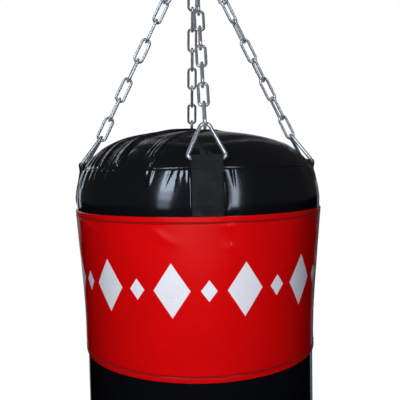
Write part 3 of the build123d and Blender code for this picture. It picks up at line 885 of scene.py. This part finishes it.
def plated_metal(nodes, start):
    """Plated or ground metal: soft mottling, fine rubbed lines and a little tarnish."""
    mottle = nodes.noise(160.0, 5.0, 0.6, 0.6)
    lines = nodes.noise(420.0, 4.0, 0.6, 0.0, (1, 1, 0.15))
    spots = nodes.noise(300.0, 5.0, 0.7).ramp(0.56, 0.75)
    return {
        "Colour": nodes.blend(spots * start["Spread"], start["Colour"], start["Tarnish"]),
        "Roughness": start["Gloss"] + (mottle - 0.4) * 0.25 + spots * 0.15,
        "Height": mottle * 0.6 + lines * 0.4,
    }


def open_material(name):
    """A new material, its nodes and its Principled shader."""
    material = bpy.data.materials.new(name)
    material.use_nodes = True
    return material, Nodes(material.node_tree), material.node_tree.nodes["Principled BSDF"]


def new_material(name, strength, distance, **constants):
    """Start a material with constants on its shader: its nodes, and a function that finishes it.

    strength and distance, in metres, are those of its bump.
    """
    material, nodes, shader = open_material(name)
    nodes.put(shader, **constants)

    def dress(colour, rough, height):
        bump = nodes.add("Bump", Strength=strength, Distance=distance, Height=height)
        nodes.put(shader, Base_Color=colour, Roughness=rough, Normal=bump["Normal"])
        return material

    return nodes, dress


def shared(name, build):
    """The material of this name, which build makes the first time that it's asked for."""
    return bpy.data.materials.get(name) or build(name)


# Vinyls: roughness of the coat and of the skin, weight of the coat, specular level and colour of the dust
VINYLS = {
    "gloss_red_vinyl": (0.13, 0.21, 0.10, 0.16, (0.45, 0.10, 0.10, 1)),
    "gloss_black_vinyl": (0.10, 0.14, 0.8, 0.78, (0.05, 0.05, 0.055, 1)),
    "satin_black_vinyl": (0.15, 0.18, 0.8, 0.78, (0.05, 0.05, 0.055, 1)),
}
# The print's two rows: share of a lozenge's pitch that they are shifted by, half width and half height
LOZENGES = ((0.0, 0.25, 0.165), (0.5, 0.11, 0.065))
LOZENGE_COUNT = 12.0
LOZENGE_MIDDLE = 0.44  # share of the band's height


def vinyl(name):
    """Gloss or satin vinyl in the bag's black, or gloss in red with its print."""
    look = bpy.context.scene.bag_colours
    red = name == "gloss_red_vinyl"
    coat_rough, gloss, coat, specular, dust = VINYLS[name]
    nodes, dress = new_material(
        name, 0.16, 0.6 * MM, Coat_Weight=coat, Coat_Roughness=coat_rough, Specular_IOR_Level=specular
    )
    base = opaque(look.red if red else look.black)
    cover = group_node(nodes, "coated_vinyl", coated_vinyl, Colour=base, Dust=dust, Gloss=gloss)
    colour = printed(nodes, cover["Colour"], opaque(look.print_white)) if red else cover["Colour"]
    return dress(colour, cover["Roughness"], cover["Height"])


def printed(nodes, colour, ink):
    """The red with its printed lozenges and with painted shade, a darker line along the stitches."""
    s = sizes()
    around, down, _ = nodes.split("UV")
    masks = []
    for offset, wide, high in LOZENGES:
        row = {"Around": around, "Down": down, "Count": LOZENGE_COUNT, "Middle": LOZENGE_MIDDLE}
        row.update(Offset=offset, Half_width=wide, Half_height=high)
        masks.append(group_node(nodes, "lozenge_print", lozenge_print, **row)["Mask"])
    worn = nodes.noise(120.0, 5.0, 0.7).ramp(0.24, 0.36)
    colour = nodes.blend(nodes.larger(*masks) * worn, colour, ink)
    # Painted shade: a darker red line along each hem's stitches, where the groove is in shadow
    edge = nodes.math("MINIMUM", down, 1.0 - down)
    off_seam = abs(edge - s.hem / s.band_width)
    shade = 1.0 - off_seam.ramp(0.8 * MM / s.band_width, 1.7 * MM / s.band_width)
    return nodes.blend(shade * 0.75, colour, (0.10, 0.001, 0.0014, 1))


def webbing(name):
    """Matt black polyester webbing: weave across the ribs, painted light on the rib crests and painted shade
    between them, with a little fuzz and dust.
    """
    base = bpy.context.scene.bag_colours.webbing
    nodes, dress = new_material(
        name, 0.6, 0.4 * MM, Sheen_Weight=0.05, Sheen_Roughness=0.4, Specular_IOR_Level=0.3
    )
    cloth = nodes.coordinates("UV", (52.0, 150.0, 1.0))
    flat = {"feature": "F1", "voronoi_dimensions": "2D"}
    weave = nodes.add("TexVoronoi", **flat, Vector=cloth, Scale=1.0, Randomness=0.35)["Distance"]
    fuzz = nodes.noise(900.0, 4.0, 0.7)
    dust = nodes.noise(60.0, 5.0, 0.65).ramp(0.45, 0.8)
    _, along, _ = nodes.split("UV")
    # Painted light and shade: the rib crests are lighter and the hollows between them darker than the
    # webbing's own black
    lit_rib_crest = nodes.math("SINE", along * (2 * math.pi / sizes().rib_pitch)) * 0.5 + 0.5
    shade = nodes.blend(lit_rib_crest, opaque(base, 0.18), opaque(base, 1.5))
    colour = nodes.blend((fuzz * 0.5 + weave * 0.5) * 0.5, shade, opaque(base, 2.2))
    colour = nodes.blend(dust * 0.12, colour, (0.12, 0.12, 0.13, 1))
    return dress(colour, fuzz * 0.2 + 0.5, fuzz * 0.4 - weave)


def thread(name):
    """Twisted polyester thread in a darker red."""
    nodes, dress = new_material(name, 0.5, 0.2 * MM, Sheen_Weight=0.2, Specular_IOR_Level=0.3)
    fibre = nodes.noise(2400.0, 3.0, 0.6)
    colour = nodes.blend(fibre, (0.14, 0.001, 0.002, 1), (0.36, 0.003, 0.004, 1))
    return dress(colour, fibre * 0.3 + 0.5, fibre)


def metal(name, base, tarnish, gloss, spread, metallic=1.0):
    """A metal finish from the plated metal group."""
    nodes, dress = new_material(name, 0.05, 0.3 * MM, Metallic=metallic)
    looks = {"Colour": opaque(base), "Tarnish": opaque(tarnish), "Gloss": gloss, "Spread": spread}
    cover = group_node(nodes, "plated_metal", plated_metal, **looks)
    return dress(cover["Colour"], cover["Roughness"], cover["Height"])


class BAG_OT_metal_finishes(Operator):
    """Give the hook, swivel, ring, chains and triangle rings their metal finishes"""

    bl_idname = "bag.metal_finishes"
    bl_label = "Metal finishes"

    def execute(self, context):
        look = context.scene.bag_colours
        kinds = {
            "zinc": metal("zinc_plate", look.zinc, (0.34, 0.35, 0.37), 0.16, 0.20, 0.80),
            "steel": metal("ground_steel", look.steel, (0.20, 0.19, 0.18), 0.16, 0.35),
            "brass": metal("pressed_brass", look.brass, (0.25, 0.16, 0.07), 0.28, 0.40),
        }
        for entry in frame["record"]["subparts"]:
            kind = kinds.get(entry["material_slot"])
            if kind is None:
                continue
            for slot in frame["nodes"][entry["node"]].material_slots:
                slot.material = kind
        return {"FINISHED"}


# ---- stage
# Lamps: azimuth off the front and elevation in degrees, distance, width and height in metres, whose power,
# the share of it, lean to the right in degrees and slide up along its length in metres
LAMPS = {
    "left_panel": (-30.5, 25.0, 1.75, (0.34, 1.15), "left_power", 0.80, 6.0, 0.325),
    "left_panel_mid": (-30.5, 25.0, 1.75, (0.34, 0.325), "left_power", 0.14, 6.0, -0.4125),
    "left_panel_low": (-30.5, 25.0, 1.75, (0.33, 0.325), "left_power", 0.055, 6.0, -0.7375),
    "right_panel": (28.2, 25.0, 1.75, (0.19, 1.80), "right_power", 1.0, 3.0, 0.0),
    "rear_left_strip": (-141.0, 22.0, 1.7, (0.12, 1.7), "rim_power", 1.0, 0.0, 0.0),
    "rear_right_strip": (140.0, -14.0, 1.7, (0.10, 1.1), "rim_power", 0.2, 0.0, 0.0),
    "front_fill": (-9.0, 4.0, 0.66, (0.42, 0.5), "fill_power", 1.0, 0.0, 0.0),
}


class BAG_OT_stage(Operator):
    """Set up the camera, the floor, the panels of light and the white surround"""

    bl_idname = "bag.stage"
    bl_label = "Stage"

    def execute(self, context):
        look = context.scene.bag_stage
        context.scene.view_settings.view_transform = "Standard"
        self.camera(context, look)
        self.floor(look)
        lamps = {name: self.lamp(look, name, *lamp) for name, lamp in LAMPS.items()}
        lamps["front_fill"].visible_glossy = False
        lamps["front_fill"].data.color = look.fill_colour
        self.surround(context)
        return {"FINISHED"}

    def camera(self, context, look):
        """A camera turned round the bag, then yawed, pitched and rolled about itself."""
        data = bpy.data.cameras.new("view")
        data.lens = look.lens
        data.sensor_width = 36.0
        data.clip_end = 50.0
        camera = bpy.data.objects.new("view", data)
        context.scene.collection.objects.link(camera)
        place = Matrix.Translation((0, -look.camera_distance, SEAM_Z + look.camera_rise))
        place = Matrix.Rotation(-look.camera_turn, 4, "Z") @ place @ Matrix.Rotation(-look.camera_yaw, 4, "Z")
        tip = Matrix.Rotation(math.pi / 2 - look.camera_pitch, 4, "X")
        camera.matrix_world = place @ tip @ Matrix.Rotation(look.camera_roll, 4, "Z")
        context.scene.camera = camera

    def floor(self, look):
        """A pale floor that glows to the camera and, behind the bag, to reflections."""
        clear()
        bpy.ops.mesh.primitive_plane_add(size=80.0)
        floor = bpy.context.object
        floor.name = "studio_floor"
        write_coordinates(floor, coordinates(floor) + [0, 0, CAD_BOX[0][2] - look.floor_gap])
        material, nodes, shader = open_material("pale_floor")
        path = nodes.add("LightPath")
        x, y, _ = nodes.split("Object")
        reach = nodes.math("SQRT", x * x + y * y)
        far = reach.ramp(0.6, 2.6)
        behind = path["Is Glossy Ray"] * (y / nodes.larger(reach, 0.01)).ramp(0.90, 0.995)
        strength = nodes.larger(path["Is Camera Ray"], behind) * (far * 0.38 + 0.62)
        base = nodes.blend(far, (0.85, 0.85, 0.85, 1), (0, 0, 0, 1))
        nodes.put(shader, Base_Color=base, Roughness=1.0, Specular_IOR_Level=0.0)
        nodes.put(shader, Emission_Color=(1, 1, 1, 1), Emission_Strength=strength)
        floor.data.materials.append(material)

    def lamp(self, look, name, azimuth, elevation, distance, size, whose, share, lean, slide):
        """A rectangular lamp that the camera doesn't see, facing the bag."""
        data = bpy.data.lights.new(name, "AREA")
        data.shape = "RECTANGLE"
        data.size, data.size_y = size
        data.energy = getattr(look, whose) * share
        data.color = look.lamp_colour
        lamp = bpy.data.objects.new(name, data)
        lamp.visible_camera = False
        bpy.context.scene.collection.objects.link(lamp)
        turn, rise = math.radians(azimuth + FRONT), math.radians(elevation)
        away = Vector((math.cos(turn) * math.cos(rise), math.sin(turn) * math.cos(rise), math.sin(rise)))
        aim = away.to_track_quat("Z", "Y") @ Quaternion((0, 0, 1), math.radians(-lean))
        lamp.location = Vector((0, 0, SEAM_Z - look.lamp_aim)) + away * distance + aim @ Vector((0, slide, 0))
        lamp.rotation_euler = aim.to_euler()
        return lamp

    def surround(self, context):
        """White to the camera and behind the bag, dim elsewhere for reflections and soft light."""
        world = bpy.data.worlds.new("surround")
        context.scene.world = world
        world.use_nodes = True
        nodes = Nodes(world.node_tree)
        path = nodes.add("LightPath")
        x, y, z = nodes.split("Generated")
        behind = y.ramp(0.90, 0.995) * (0.96 - z.ramp(0.03, 0.22) * 0.70)
        patch = (x * -1.0).ramp(0.10, 0.24) * y.ramp(0.70, 0.88) * (z.ramp(0.08, 0.20) * 0.8)
        glossy = nodes.larger(behind, patch) + 0.026
        through = nodes.larger(path["Is Glossy Ray"], path["Is Transmission Ray"])
        soft = (1.0 - through) * (y.ramp(-0.2, 1.0) * 0.04 + 0.02)
        strength = nodes.larger(path["Is Camera Ray"], through * glossy + soft)
        nodes.put(world.node_tree.nodes["Background"], Color=(1, 1, 1, 1), Strength=strength)


class BAG_PT_panel(Panel):
    """Lists the bag's operators"""

    bl_idname = "BAG_PT_panel"
    bl_label = "Heavy bag"
    bl_space_type = "VIEW_3D"
    bl_region_type = "UI"
    bl_category = "Heavy bag"

    def draw(self, context):
        for operator in OPERATORS:
            self.layout.operator(operator.bl_idname)


OPERATORS = (
    BAG_OT_stage,
    BAG_OT_top_cover,
    BAG_OT_side_panel,
    BAG_OT_base_panel,
    BAG_OT_strike_band,
    BAG_OT_stitching,
    BAG_OT_straps,
    BAG_OT_metal_finishes,
)
GROUPS = {"bag_sizes": BagSizes, "bag_colours": BagColours, "bag_stage": StageLook}


def register():
    for name, group in GROUPS.items():
        bpy.utils.register_class(group)
        setattr(bpy.types.Scene, name, PointerProperty(type=group))
    for part in (*OPERATORS, BAG_PT_panel):
        bpy.utils.register_class(part)


def unregister():
    for part in reversed((*OPERATORS, BAG_PT_panel)):
        bpy.utils.unregister_class(part)
    for name, group in reversed(GROUPS.items()):
        delattr(bpy.types.Scene, name)
        bpy.utils.unregister_class(group)


def main():
    """Build everything in order."""
    register()
    for operator in OPERATORS:
        family, action = operator.bl_idname.split(".")
        getattr(getattr(bpy.ops, family), action)()


if __name__ == "__main__":
    main()
